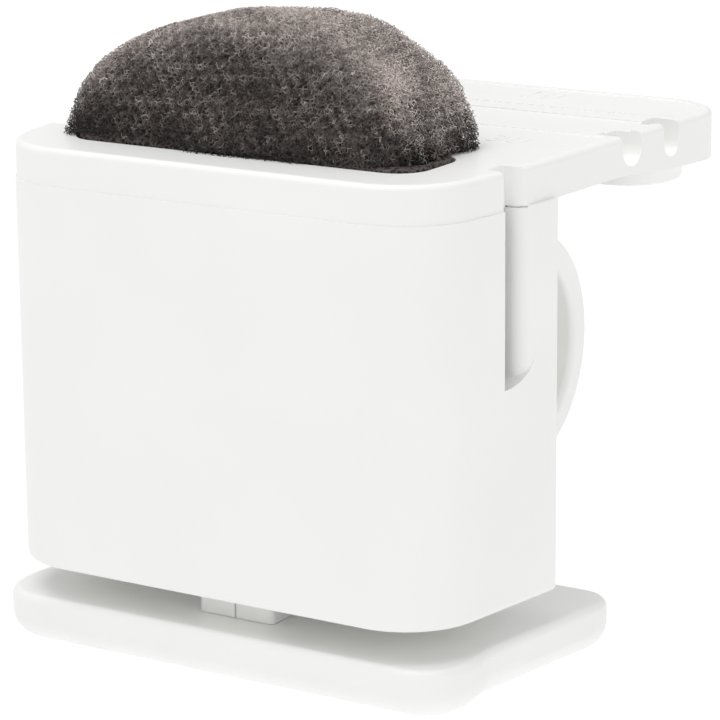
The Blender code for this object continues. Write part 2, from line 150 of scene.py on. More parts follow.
FOOT_PANEL = (11.2, 19.4, 2.5, 0.8)  # front, rear, and the low and high edges' drop from the foot's top
FOOT_PANEL_DEPTH = 0.06
RING_ROUND = 0.35
RING_LIP = 0.55

# The foam's head: an arch with its own width and fullness on each side, drawn out from front to rear.
HEAD_LEFT = (16.3, 2.3)  # half width, power
HEAD_RIGHT = (14.3, 1.9)
HEAD_MIDDLE = 10.6
HEAD_HALF_DEPTH = 6.7
HEAD_POWER = 5.5
HEAD_LEAN = 2.0
CREASE_Y = 8.3
NET_BANDS = 6
NET_DEPTH = 0.4
FRINGE_DEPTH = 0.8
FRINGE_HEADING = np.array([0.80, 0.50, 0.33])
CELL = 0.45
CELL_JITTER = 0.17  # by which a joint may stray each way, as a share of a cell
CUT_SNAP = 0.13  # joints this near to the surface are moved onto it
CUT_LAYER = 0.22
LOOSE_IN_CUT = 0.12  # share of struts left out in the cut layer
LOOSE_IN_FRINGE = 0.4
CORE_GRAIN = 0.26

CAMERA_PLACE = (129.59, -185.53, 43.87)  # millimetres across, behind the front wall and above the deck
CAMERA_TURN = (32.07, 14.42, -0.497)  # azimuth, downward tilt and roll, in degrees
CAMERA_LENS = 162.94
SKY = 0.63
FLOOR_GLOW = 0.98


# ---------------------------------------------------------------- shapes

def at(x, y, z):
    """The point x across, y behind the front wall and z up, in the frame's metres."""
    return Vector((x, y + FRONT, z)) * MM


def side_x(y):
    """Half width of the flared cup at distance y behind its front face."""
    return FRONT_WIDTH / 2 + y * math.tan(FLARE)


def filleted(corners, steps=12):
    """A closed outline from (x, y, radius) corners, with an arc of that radius at each."""
    points = []
    for i, (x, y, radius) in enumerate(corners):
        if radius == 0:
            points.append((x, y))
            continue
        before, after = corners[i - 1], corners[(i + 1) % len(corners)]
        to_before = math.atan2(before[1] - y, before[0] - x)
        to_after = math.atan2(after[1] - y, after[0] - x)
        half = ((to_before - to_after + math.pi) % (2 * math.pi) - math.pi) / 2
        middle = to_after + half
        away = radius / abs(math.sin(half))
        centre = (x + away * math.cos(middle), y + away * math.sin(middle))
        sweep = math.copysign(math.pi / 2 - abs(half), half)
        for k in range(steps + 1):
            angle = middle + math.pi - sweep + 2 * sweep * k / steps
            points.append((centre[0] + radius * math.cos(angle), centre[1] + radius * math.sin(angle)))
    return points


def quarter(x, y, radius, start, end, steps=8):
    """Points of a quarter circle about (x, y), from the direction of one unit vector to another's."""
    points = []
    for k in range(steps + 1):
        angle = math.pi / 2 * k / steps
        across = start[0] * math.cos(angle) + end[0] * math.sin(angle)
        along = start[1] * math.cos(angle) + end[1] * math.sin(angle)
        points.append((x + radius * across, y + radius * along))
    return points


def mirrored(right_side):
    """Corners of an outline that is symmetric about X = 0, from those of its right half."""
    return right_side + [(-x, y, radius) for x, y, radius in reversed(right_side)]


def rounded_box(half_width, front, rear, radius, steps=8):
    return filleted(mirrored([(half_width, front, radius), (half_width, rear, radius)]), steps)


def new_object(name, shape):
    """An object in the scene, made from a bmesh, which it frees."""
    mesh = bpy.data.meshes.new(name)
    bmesh.ops.recalc_face_normals(shape, faces=shape.faces)
    shape.to_mesh(mesh)
    shape.free()
    made = bpy.data.objects.new(name, mesh)
    bpy.context.scene.collection.objects.link(made)
    return made


def prism(name, outline, low, high, across="Z"):
    """A solid with a flat outline: in X and Y along Z, in Y and Z along X, in X and Z along Y."""
    place = {
        "Z": lambda u, v, w: at(u, v, w),
        "X": lambda u, v, w: at(w, u, v),
        "Y": lambda u, v, w: at(u, w, v),
    }[across]
    shape = bmesh.new()
    face = shape.faces.new([shape.verts.new(place(u, v, low)) for u, v in outline])
    grown = bmesh.ops.extrude_face_region(shape, geom=[face])["geom"]
    moved = [item for item in grown if isinstance(item, bmesh.types.BMVert)]
    bmesh.ops.translate(shape, verts=moved, vec=place(0, 0, high) - place(0, 0, low))
    return new_object(name, shape)


def turned(name, profile, centre, axis, steps=64):
    """A solid turned about an axis through centre, from (radius, distance along the axis) points."""
    along = Vector(axis)
    side = along.orthogonal().normalized()
    origin = at(*centre)
    shape = bmesh.new()
    points = [shape.verts.new(origin + (side * r + along * d) * MM) for r, d in profile]
    edges = [shape.edges.new(pair) for pair in zip(points, points[1:])]
    if profile[0][0] > 0:
        edges.append(shape.edges.new((points[-1], points[0])))
    bmesh.ops.spin(shape, geom=points + edges, cent=origin, axis=along, angle=2 * math.pi, steps=steps,
                   use_merge=True)
    bmesh.ops.remove_doubles(shape, verts=shape.verts, dist=1e-7)
    return new_object(name, shape)


def round_rim(obj, z, radius, segments=4):
    """Rounds the outline edges of a prism at one height."""
    shape = bmesh.new()
    shape.from_mesh(obj.data)
    rim = [edge for edge in shape.edges if all(abs(v.co.z - z * MM) < 1e-7 for v in edge.verts)]
    bmesh.ops.bevel(shape, geom=rim, offset=radius * MM, segments=segments, profile=0.5, affect="EDGES")
    shape.to_mesh(obj.data)
    shape.free()


def combine(target, tool, operation="DIFFERENCE"):
    """Cuts the tool from the target, or joins it on, and removes the tool."""
    boolean = target.modifiers.new(operation, "BOOLEAN")
    boolean.operation = operation
    boolean.object = tool
    boolean.solver = "EXACT"
    settle(target)
    bpy.data.objects.remove(tool, do_unlink=True)


def settle(obj):
    """Applies the modifiers of an object."""
    graph = bpy.context.evaluated_depsgraph_get()
    mesh = bpy.data.meshes.new_from_object(obj.evaluated_get(graph))
    obj.modifiers.clear()
    obj.data = mesh


def soften(obj, width=EDGE_ROUND, segments=2, angle=38, sharp_at=None):
    """Rounds every remaining sharp edge a little, apart from those at the height sharp_at, and shades the
    result as one moulded surface."""
    shape = bmesh.new()
    shape.from_mesh(obj.data)
    bmesh.ops.remove_doubles(shape, verts=shape.verts, dist=2e-7)
    bmesh.ops.dissolve_limit(shape, angle_limit=math.radians(0.5), verts=shape.verts, edges=shape.edges)
    weight = shape.edges.layers.float.new("bevel_weight_edge")
    for edge in shape.edges:
        kept = sharp_at is not None and all(abs(v.co.z / MM - sharp_at) < 0.03 for v in edge.verts)
        edge[weight] = 0.0 if kept or edge.calc_face_angle(0.0) < math.radians(angle) else 1.0
        edge.smooth = not kept
    shape.to_mesh(obj.data)
    shape.free()
    bevel = obj.modifiers.new("edges", "BEVEL")
    bevel.width = width * MM
    bevel.segments = segments
    bevel.limit_method = "WEIGHT"
    bevel.harden_normals = True
    obj.data.shade_smooth()
    normals = obj.modifiers.new("normals", "WEIGHTED_NORMAL")
    normals.keep_sharp = True
    normals.weight = 100


def finish_piece(obj, body, slot, material, *nodes):
    """Gives a piece its material and body, and says which CAD nodes it stands in for; its slot is not used.
    """
    obj.data.materials.clear()
    obj.data.materials.append(material)
    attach(obj, body)
    if nodes:
        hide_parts(*nodes)
    return obj


# ---------------------------------------------------------------- mouldings

def body_outline(inset, steps=24):
    """Plan of the cup, moved inwards by inset."""
    slack = inset / math.cos(FLARE)
    front = (side_x(inset) - slack, inset, CORNER_RADIUS - inset)
    rear_y = BODY_DEPTH - inset
    return filleted(mirrored([front, (side_x(rear_y) - slack, rear_y, REAR_CORNER)]), steps)


def slot_outline(side, inner_x):
    """Plan of a side slot; the back wall's corner beside it is rounded."""
    arc_x = side_x(SLOT_REAR) - SLOT_REAR_ROUND
    corners = [(inner_x, SLOT_FRONT, 0.3), (26.0, SLOT_FRONT, 0)]
    corners += [(26.0, SLOT_REAR + SLOT_REAR_ROUND, 0)]
    corners += [(side_x(SLOT_REAR + SLOT_REAR_ROUND), SLOT_REAR + SLOT_REAR_ROUND, 0)]
    for k in range(1, 12):
        angle = math.radians(90 - 7.5 * k)
        corners.append((arc_x + SLOT_REAR_ROUND * math.sin(angle) + 0.15,
                        SLOT_REAR + SLOT_REAR_ROUND * (1 - math.cos(angle)), 0))
    corners += [(arc_x, SLOT_REAR, 0), (inner_x, SLOT_REAR, 0.3)]
    return [(side * x, y) for x, y in filleted(corners, 4)]


def slot_cutter(side, inner_x):
    """A cutter for one side slot, whose lower end curves up towards the rear."""
    cutter = prism("slot", slot_outline(side, inner_x), SLOT_BOTTOM, DECK_TOP + 5)
    end = [(SLOT_REAR + 3, DECK_TOP + 6), (SLOT_FRONT - 1, DECK_TOP + 6), (SLOT_FRONT - 1, SLOT_BOTTOM)]
    for k in range(16):
        angle = math.radians(6 * k)
        end.append((SLOT_FRONT + (SLOT_REAR + SLOT_REAR_ROUND - SLOT_FRONT) * math.sin(angle),
                    SLOT_BOTTOM + SLOT_END_RISE * (1 - math.cos(angle))))
    end.append((SLOT_REAR + 3, SLOT_BOTTOM + SLOT_END_RISE))
    combine(cutter, prism("slot_end", end, -30.0, 30.0, "X"), "INTERSECT")
    return cutter


def make_cup(white):
    """The flared shell, with its floor, slots, screw boss and the hole for the ring's stem."""
    cup = prism("cup", body_outline(0.0), BODY_BOTTOM, SEAM)
    round_rim(cup, BODY_BOTTOM, 0.4)
    combine(cup, prism("hollow", body_outline(WALL), BODY_BOTTOM + FLOOR, DECK_TOP))
    for side in (-1, 1):
        combine(cup, slot_cutter(side, SLOT_INNER_X))
    radius, height = SCREW_BOSS
    top, root = BODY_BOTTOM + FLOOR + height, BODY_BOTTOM + 0.6
    boss = [(0, top), (radius, top), (radius, root), (0, root)]
    combine(cup, turned("boss", boss, (0, SCREW_Y, 0), (0, 0, 1), 32), "UNION")
    pilot = [(0, top - 0.9), (PILOT_RADIUS, top - 0.9), (PILOT_RADIUS, 3), (0, 3)]
    combine(cup, turned("pilot", pilot, (0, SCREW_Y, 0), (0, 0, 1), 32))
    bore = [(0, 2), (STEM_HOLE_RADIUS, 2), (STEM_HOLE_RADIUS, -2), (0, -2)]
    combine(cup, turned("bore", bore, (0, BODY_DEPTH - WALL / 2, RING_Z), (0, 1, 0), 48))
    soften(cup)
    return finish_piece(cup, "body", "cup_plastic", white, "cup_shell")


def deck_outline():
    """Plan of the deck with its ledge."""
    front = (side_x(DECK_INSET) - DECK_INSET, DECK_INSET, CORNER_RADIUS - DECK_INSET)
    waist = (side_x(SLOT_REAR) - DECK_INSET, SLOT_REAR, 0)
    far = (LEDGE_FAR_HALF_WIDTH, LEDGE_REAR, LEDGE_CORNER)
    return filleted(mirrored([front, waist, far]), 24)


def ledge_x(y):
    """Half width of the ledge at distance y behind the front wall."""
    share = (y - SLOT_REAR) / (LEDGE_REAR - SLOT_REAR)
    waist = side_x(SLOT_REAR)
    return waist - DECK_INSET + (LEDGE_FAR_HALF_WIDTH - waist + DECK_INSET) * share


def recess(deck, front, rear, margin, depth, radius):
    """Sinks a field of the ledge's top, leaving a border of the given margin at its sides."""
    corners = [(ledge_x(front) - margin, front, radius[0]), (ledge_x(rear) - margin, rear, radius[1])]
    combine(deck, prism("recess", filleted(mirrored(corners), 8), DECK_TOP - depth, DECK_TOP + 1))


def make_deck(white):
    """The plate that closes the cup, with the foam's socket and the ruler ledge."""
    deck = prism("deck", deck_outline(), BODY_BOTTOM, DECK_TOP)
    round_rim(deck, DECK_TOP, RIM_ROUND, 5)
    under = [(-3.0, SEAM - SKIRT_LAP), (-3.0, DECK_TOP + 3), (LEDGE_REAR + 3, DECK_TOP + 3)]
    under += [(y, SEAM + drop) for y, drop in reversed(LEDGE_UNDERSIDE)]
    combine(deck, prism("layer", under, -30.0, 30.0, "X"), "INTERSECT")

    half, front, rear, radius = SOCKET
    wall = SOCKET_WALL
    outside = rounded_box(half + wall, front - wall, rear + wall, radius + wall)
    combine(deck, prism("socket", outside, SOCKET_UNDERSIDE, SOCKET_ROOT), "UNION")
    inside = rounded_box(half, front, rear, radius)
    combine(deck, prism("mouth", inside, SOCKET_UNDERSIDE + wall, DECK_TOP + 5))
    x, y, radius = BOSS
    boss = [(0, BOSS_ROOT), (radius, BOSS_ROOT), (radius, BOSS_BOTTOM + 0.4)]
    boss += [(radius - 0.12, BOSS_BOTTOM + 0.12), (radius - 0.4, BOSS_BOTTOM), (0, BOSS_BOTTOM)]
    combine(deck, turned("boss", boss, (x, y, 0), (0, 0, 1), 72), "UNION")

    for side in (-1, 1):
        combine(deck, slot_cutter(side, DECK_SLOT_INNER_X))
    for field in FIELDS:
        recess(deck, *field)
    for centre, width, depth in NOTCHES:
        combine(deck, notch(centre, width, depth))
    combine(deck, tick_marks())
    soften(deck, 0.06, sharp_at=SEAM - SKIRT_LAP)
    return finish_piece(deck, "body", "deck_plastic", white, "top_deck")


def notch(centre, width, depth):
    """A U-shaped cutter that opens upwards and outwards on the ledge's right edge."""
    radius = width / 2
    bottom = DECK_TOP - depth + radius
    outline = [(centre + radius, DECK_TOP + 2), (centre - radius, DECK_TOP + 2)]
    for k in range(25):
        angle = math.pi + math.pi * k / 24
        outline.append((centre + radius * math.cos(angle), bottom + radius * math.sin(angle)))
    growth = LEDGE_FAR_HALF_WIDTH - LEDGE_HALF_WIDTH
    edge = LEDGE_HALF_WIDTH + growth * (centre - SLOT_REAR) / LEDGE_LENGTH
    return prism("notch", outline, edge - NOTCH_REACH, edge + NOTCH_REACH, "X")


def tick_marks():
    """Cutters for the ruler: a row of small round pits, one for each millimetre."""
    shape = bmesh.new()
    for x in range(-TICKS_EACH_WAY, TICKS_EACH_WAY + 1):
        spot = Matrix.Translation(at(x + TICK_SHIFT, TICK_Y, DECK_TOP + 0.25 - TICK_DEPTH))
        bmesh.ops.create_cone(shape, cap_ends=True, segments=12, radius1=TICK_RADIUS * MM,
                              radius2=TICK_RADIUS * MM, depth=0.5 * MM, matrix=spot)
    return new_object("ticks", shape)


def make_numerals(white):
    """Raised numbers on the ruler ledge, in the built-in plain typeface."""
    for text, x, y, size in NUMERALS:
        curve = bpy.data.curves.new("numeral_" + text, "FONT")
        curve.body = text
        curve.size = size * MM
        curve.extrude = 0.02 * MM
        curve.bevel_depth = 0.03 * MM
        curve.bevel_resolution = 1
        source = bpy.data.objects.new("numeral_" + text, curve)
        source.location = at(x, y, DECK_TOP - RECESS_DEPTH)
        bpy.context.scene.collection.objects.link(source)
        bpy.context.view_layer.update()
        graph = bpy.context.evaluated_depsgraph_get()
        mesh = bpy.data.meshes.new_from_object(source.evaluated_get(graph))
        mesh.transform(source.matrix_world)
        numeral = bpy.data.objects.new("ruler_numeral_" + text, mesh)
        bpy.context.scene.collection.objects.link(numeral)
        bpy.data.objects.remove(source, do_unlink=True)
        finish_piece(numeral, "body", "deck_plastic", white)


def foot_outline():
    """Plan of the foot plate: two ears in front that swing in to flared sides."""
    front = (side_x(0) + FOOT_FRONT_EAR, FOOT_FRONT, FOOT_FRONT_RADIUS)
    widest = (side_x(FOOT_EAR_Y) + FOOT_EAR, FOOT_EAR_Y, 0)
    right = filleted([front, widest, (0, FOOT_EAR_Y, 0), (0, FOOT_FRONT, 0)], 14)
    right = [point for point in right if point[0] > 0.5]
    for k in range(1, 13):
        share = k / 12
        bulge = FOOT_EAR * (1 + math.cos(math.pi * share)) / 2
        y = FOOT_EAR_Y + (FOOT_WAIST_Y - FOOT_EAR_Y) * share
        right.append((side_x(y) + bulge, y))
    rear = (side_x(FOOT_REAR), FOOT_REAR, FOOT_REAR_RADIUS)
    tail = filleted([(side_x(FOOT_WAIST_Y), FOOT_WAIST_Y, 0), rear, (0, FOOT_REAR, 0)], 14)
    right += [point for point in tail[1:] if point[0] > 0.5]
    return right + [(-x, y) for x, y in reversed(right)]


def make_foot(white):
    """The foot plate, with its countersunk screw hole and a panel in each side."""
    foot = prism("foot", foot_outline(), 0.0, FOOT_TOP)
    round_rim(foot, FOOT_TOP, FOOT_TOP_ROUND, 6)
    round_rim(foot, 0.0, FOOT_BOTTOM_ROUND, 12)
    sink = [(0, 5), (SCREW_HOLE_RADIUS, 5), (SCREW_HOLE_RADIUS, 1.7), (2.6, 0.3), (2.6, -1), (0, -1)]
    combine(foot, turned("screw_hole", sink, (0, SCREW_Y, 0), (0, 0, 1), 48))
    front, rear, low, high = FOOT_PANEL
    panel = [(front, FOOT_TOP - low), (rear, FOOT_TOP - low)]
    panel += [(rear, FOOT_TOP - high), (front, FOOT_TOP - high)]
    for side in (-1, 1):
        combine(foot, side_panel(panel, side, FOOT_PANEL_DEPTH))
    soften(foot, 0.03)
    return finish_piece(foot, "body", "foot_plastic", white, "foot_plate")


def side_panel(outline, side, depth):
    """A cutter that sinks a panel into the foot's flared side."""
    shape = bmesh.new()
    inner = [shape.verts.new(at(side * (side_x(y) - depth), y, z)) for y, z in outline]
    outer = [shape.verts.new(at(side * (side_x(y) + 2), y, z)) for y, z in outline]
    shape.faces.new(inner)
    shape.faces.new(list(reversed(outer)))
    for i in range(len(outline)):
        j = (i + 1) % len(outline)
        shape.faces.new([inner[j], inner[i], outer[i], outer[j]])
    return new_object("panel", shape)


def make_post(white):
    """The block between the foot and the cup, with a fine seam down its front."""
    outline = rounded_box(POST_HALF_WIDTH, POST_FRONT, POST_REAR, 0.5)
    post = prism("post", outline, FOOT_TOP + 0.02, BODY_BOTTOM - 0.02)
    hole = [(0, 8), (SCREW_HOLE_RADIUS, 8), (SCREW_HOLE_RADIUS, -1), (0, -1)]
    combine(post, turned("screw_hole", hole, (0, SCREW_Y, 0), (0, 0, 1), 48))
    groove = [(-0.14, POST_FRONT - 1), (0.14, POST_FRONT - 1)]
    groove += [(0.05, POST_FRONT + 0.3), (-0.05, POST_FRONT + 0.3)]
    combine(post, prism("seam", groove, 0, BODY_BOTTOM + 1))
    soften(post, 0.1)
    return finish_piece(post, "body", "foot_plastic", white, "foot_post")


def make_ring(white):
    """The finger ring, its neck, and the grooved stem that turns in the back wall."""
    side, inner = RING_HALF_WIDTH, RING_INNER + RING_LIP
    outer = RING_OUTER - RING_ROUND
    profile = quarter(outer, side - RING_ROUND, RING_ROUND, (0, 1), (1, 0))
    profile += quarter(outer, RING_ROUND - side, RING_ROUND, (1, 0), (0, -1))
    profile += quarter(inner, RING_LIP - side, RING_LIP, (0, -1), (-1, 0))
    profile += quarter(inner, side - RING_LIP, RING_LIP, (-1, 0), (0, 1))
    ring = turned("ring", profile, (0, RING_Y, RING_Z), (1, 0, 0), 128)

    joint = RING_Y - RING_OUTER
    radius, front, rear = STEM_GROOVE
    stem = [(0, STEM_TIP), (STEM_TIP_RADIUS, STEM_TIP), (STEM_RADIUS, STEM_TIP + 0.5)]
    stem += [(STEM_RADIUS, front), (radius, front), (radius, rear), (STEM_RADIUS, rear)]
    stem += [(STEM_RADIUS, NECK_START)]
    stem += [(NECK_RADIUS - 0.5, NECK_START), (NECK_RADIUS - 0.15, NECK_START + 0.15)]
    stem += [(NECK_RADIUS, NECK_START + 0.5), (NECK_RADIUS, joint - 0.6)]
    stem += [(NECK_RADIUS, joint + 1.9), (0, joint + 1.9)]
    combine(ring, turned("stem", stem, (0, 0, RING_Z), (0, 1, 0), 64), "UNION")
    soften(ring, 0.25, 3)
    return finish_piece(ring, "ring", "ring_plastic", white, "finger_ring")


# ---------------------------------------------------------------- foam

def head_size(x, y, z):
    """1 on the surface of the foam's head, less inside it and more outside, for z above the deck."""
    rise = FOAM_TOP - DECK_TOP
    half_width = np.where(x < 0, HEAD_LEFT[0], HEAD_RIGHT[0])
    power = np.where(x < 0, HEAD_LEFT[1], HEAD_RIGHT[1])
    up = np.maximum(z, 0.0) / rise
    arch = (np.abs(x / half_width) ** power + up ** power) ** (1 / power)
    along = np.abs(y - HEAD_MIDDLE - HEAD_LEAN * up) / HEAD_HALF_DEPTH
    return (arch ** HEAD_POWER + along ** HEAD_POWER) ** (1 / HEAD_POWER)


def foam_depth(points):
    """Distance outside the foam's head, negative inside, for points (n, 3) in millimetres."""
    x, y, z = points[:, 0], points[:, 1], points[:, 2] - DECK_TOP
    size = head_size(x, y, z)
    nudge = 0.02
    slope = np.sqrt(sum((head_size(*near) - size) ** 2 for near in
                        ((x + nudge, y, z), (x, y + nudge, z), (x, y, z + nudge)))) / nudge
    return np.maximum((size - 1) / np.maximum(slope, 0.02), 0.05 - z)


def blotches(points, size, seed):
    """A smooth random field of about unit spread, with blotches of the given size in millimetres."""
    rng = np.random.default_rng(seed)
    total = np.zeros(len(points))
    for _ in range(14):
        heading = rng.normal(size=3)
        heading *= math.pi / size * rng.uniform(0.7, 1.3) / np.linalg.norm(heading)
        total += np.sin(points @ heading + rng.uniform(0, 2 * math.pi))
    return total / math.sqrt(7)


def crease(points):
    """1 on the line of the crease in the foam's right end, falling to 0 beside it."""
    x, y, z = points.T
    height = z - DECK_TOP
    line = CREASE_Y + 0.3 * height
    return np.exp(-((y - line) / 0.35) ** 2) / (1 + np.exp((height - 4.2) * 3)) * (x > 8)


def fringe(normals):
    """1 where the foam faces right and back and is open enough to see through, falling to 0 elsewhere."""
    return np.clip((normals @ FRINGE_HEADING - 0.3) / 0.4, 0, 1)


def swell(points):
    """Low waves over the foam's surface, a ragged front edge and the crease, in millimetres."""
    x, y, z = points.T
    height = np.maximum(z - DECK_TOP, 0.0)
    waves = 0.07 * blotches(points, 3.0, 3) + 0.03 * blotches(points, 1.1, 4)
    ragged = 0.25 * np.tanh(5 * np.sin(0.302 * (x + 4.3))) * np.exp(-height / 1.2) * (y < 6)
    return waves * np.where(x < 0, 0.6, 1.2) + ragged - 0.8 * crease(points)


def facing(points):
    """Unit normals of the foam's head at points near its surface."""
    nudge = 0.05
    here = foam_depth(points)
    slope = np.stack([foam_depth(points + np.eye(3)[axis] * nudge) - here for axis in range(3)], axis=1)
    return slope / (np.linalg.norm(slope, axis=1, keepdims=True) + 1e-9)


def foam_lattice(cell, depth, seed):
    """The joints and struts of the foam's outer layer. Foam cells are modelled as the space-filling
    fourteen-sided cells of a body-centred lattice, whose corners each join four struts, then jittered."""
    rng = np.random.default_rng(seed)
    step = cell / 4
    turn = np.array((Matrix.Rotation(0.31, 3, "X") @ Matrix.Rotation(0.22, 3, "Y")
                     @ Matrix.Rotation(0.27, 3, "Z")), float)
    centre = np.array([0.0, HEAD_MIDDLE + HEAD_LEAN / 2, (DECK_TOP + FOAM_TOP) / 2])
    half = np.array([HEAD_LEFT[0], HEAD_HALF_DEPTH + HEAD_LEAN / 2, (FOAM_TOP - DECK_TOP) / 2]) + 0.6
    spread = np.abs(turn.T) @ half
    count = np.ceil(spread / step).astype(int)
    axes = [np.arange(-n, n + 1) for n in count]
    index = -np.ones([len(axis) for axis in axes], np.int32)
    kinds = [np.array([0, 1, 2, 1])[axis % 4] for axis in axes]
    total = kinds[0][:, None, None] + kinds[1][None, :, None] + kinds[2][None, None, :]
    product = kinds[0][:, None, None] * kinds[1][None, :, None] * kinds[2][None, None, :]
    where = np.argwhere((total == 3) & (product == 0))
    points = (where - count) * step @ turn.T + centre
    near = np.abs(foam_depth(points)) < depth + FRINGE_DEPTH + 0.9
    where, points = where[near], points[near]
    beneath, normals = foam_depth(points) - swell(points), facing(points)
    see_through = fringe(normals)
    kept = (beneath < 0.0) & (beneath > -depth - FRINGE_DEPTH * see_through)
    where, points, beneath, normals = where[kept], points[kept], beneath[kept], normals[kept]
    see_through = see_through[kept]
    index[tuple(where.T)] = np.arange(len(where))
    points = points + rng.uniform(-1, 1, points.shape) * CELL_JITTER * cell
    cut = (beneath > -CUT_SNAP) & (see_through == 0)
    points[cut] -= normals[cut] * beneath[cut, None]
    pairs = []
    for offset in ((1, 1, 0), (1, -1, 0), (1, 0, 1), (1, 0, -1), (0, 1, 1), (0, 1, -1)):
        there = where + offset
        inside = np.all((there >= 0) & (there < index.shape), axis=1)
        other = np.full(len(where), -1)
        other[inside] = index[tuple(there[inside].T)]
        found = other >= 0
        pairs.append(np.column_stack([np.arange(len(where))[found], other[found]]))
    pairs = np.concatenate(pairs)
    near_cut = beneath[pairs].max(1) > -CUT_LAYER
    chance = np.maximum(LOOSE_IN_CUT * near_cut, LOOSE_IN_FRINGE * see_through[pairs[:, 0]])
    loose = rng.random(len(pairs)) < chance
    return points, pairs[~loose], rng


def strut_mesh(name, starts, ends, radii):
    """A mesh of closed three-sided struts from starts to ends."""
    along = ends - starts
    length = np.linalg.norm(along, axis=1, keepdims=True)
    along = along / length
    helper = np.where(np.abs(along[:, 2:3]) < 0.9, [[0.0, 0.0, 1.0]], [[1.0, 0.0, 0.0]])
    side = np.cross(along, helper)
    side /= np.linalg.norm(side, axis=1, keepdims=True)
    other = np.cross(along, side)
    corners = []
    for end, grow in ((starts, -0.03), (ends, 0.03)):
        for k in range(3):
            angle = 2 * math.pi * k / 3
            offset = math.cos(angle) * side + math.sin(angle) * other
            corners.append(end + along * grow + offset * radii[:, None])
    vertices = np.stack(corners, axis=1).reshape(-1, 3)
    base = np.arange(len(starts))[:, None] * 6
    quads = np.concatenate([base + np.array([k, (k + 1) % 3, 3 + (k + 1) % 3, 3 + k]) for k in range(3)])
    caps = np.concatenate([base + np.array([2, 1, 0]), base + np.array([3, 4, 5])])
    corner_list = np.concatenate([quads.ravel(), caps.ravel()])
    totals = np.concatenate([np.full(len(quads), 4), np.full(len(caps), 3)])
    mesh = bpy.data.meshes.new(name)
    mesh.vertices.add(len(vertices))
    mesh.vertices.foreach_set("co", ((vertices + [0, FRONT, 0]) * MM).ravel())
    mesh.loops.add(len(corner_list))
    mesh.loops.foreach_set("vertex_index", corner_list)
    mesh.polygons.add(len(totals))
    mesh.polygons.foreach_set("loop_start", np.concatenate([[0], np.cumsum(totals)[:-1]]))
    strut = np.concatenate([np.tile(np.arange(len(starts)), 3), np.tile(np.arange(len(starts)), 2)])
    mesh.update(calc_edges=True)
    mesh.validate()
    return mesh, strut


def make_foam_net(tones):
    """The net of struts over the head, in bands from left to right so that none is too large to handle."""
    points, pairs, rng = foam_lattice(cell=CELL, depth=NET_DEPTH + 0.06, seed=11)
    starts, ends = points[pairs[:, 0]], points[pairs[:, 1]]
    middle = (starts + ends) / 2
    radii = rng.uniform(0.020, 0.032, len(pairs))
    # Each strut's grey follows the foam's painted light and shade, with random scatter.
    tone = np.digitize(painted_light_and_mottling(middle) + rng.normal(0, 0.3, len(pairs)), [-0.3, 0.4, 1.2, 2.1])
    order = np.argsort(middle[:, 0], kind="stable")
    for number, part in enumerate(np.array_split(order, NET_BANDS), 1):
        mesh, strut = strut_mesh("foam_net_%d" % number, starts[part], ends[part], radii[part])
        for material in tones:
            mesh.materials.append(material)
        mesh.polygons.foreach_set("material_index", tone[part][strut].astype(np.int32))
        mesh.shade_smooth()
        net = bpy.data.objects.new("foam_net_%d" % number, mesh)
        bpy.context.scene.collection.objects.link(net)
        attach(net, "foam")


def painted_light_and_mottling(points):
    """Painted light and shade on the foam, with random mottling: about 0 on its front, paler where it faces
    up or sideways as painted light from above, and darker near the deck as painted shade.
    """
    normals = facing(points)
    height = points[:, 2] - DECK_TOP
    # Painted light: paler where the foam faces up, and where it faces sideways.
    shade = 1.8 * np.maximum(normals[:, 2], 0) ** 1.5 + 0.5 * normals[:, 0] ** 2
    # Painted backlight on the open fringe at the right and back, and painted shade close to the deck.
    shade += 0.6 * fringe(normals) - 1.3 * np.exp(-height / 1.3)
    # The blotches are random mottling of the struts' own tone; the crease is darkened as painted shade.
    return shade + 0.55 * blotches(points, 0.45, 7) + 0.3 * blotches(points, 2.2, 8) - 2.0 * crease(points)


def head_ring(turn, inset, steps=48):
    """Points of one section across the foam's head, which shrinks to nothing at the two ends of the turn."""
    arch = math.cos(turn) ** (2 / HEAD_POWER)
    along = math.copysign(abs(math.sin(turn)) ** (2 / HEAD_POWER), turn)
    points = []
    for k in range(steps + 1):
        angle = math.pi * k / steps
        half_width, power = HEAD_RIGHT if math.cos(angle) >= 0 else HEAD_LEFT
        across = math.copysign(abs(math.cos(angle)) ** (2 / power), math.cos(angle))
        up = arch * math.sin(angle) ** (2 / power)
        points.append(at((half_width - inset) * arch * across,
                         HEAD_MIDDLE + (HEAD_HALF_DEPTH - inset) * along + HEAD_LEAN * up,
                         DECK_TOP + 0.1 + (FOAM_TOP - DECK_TOP - inset - 0.1) * up))
    return points


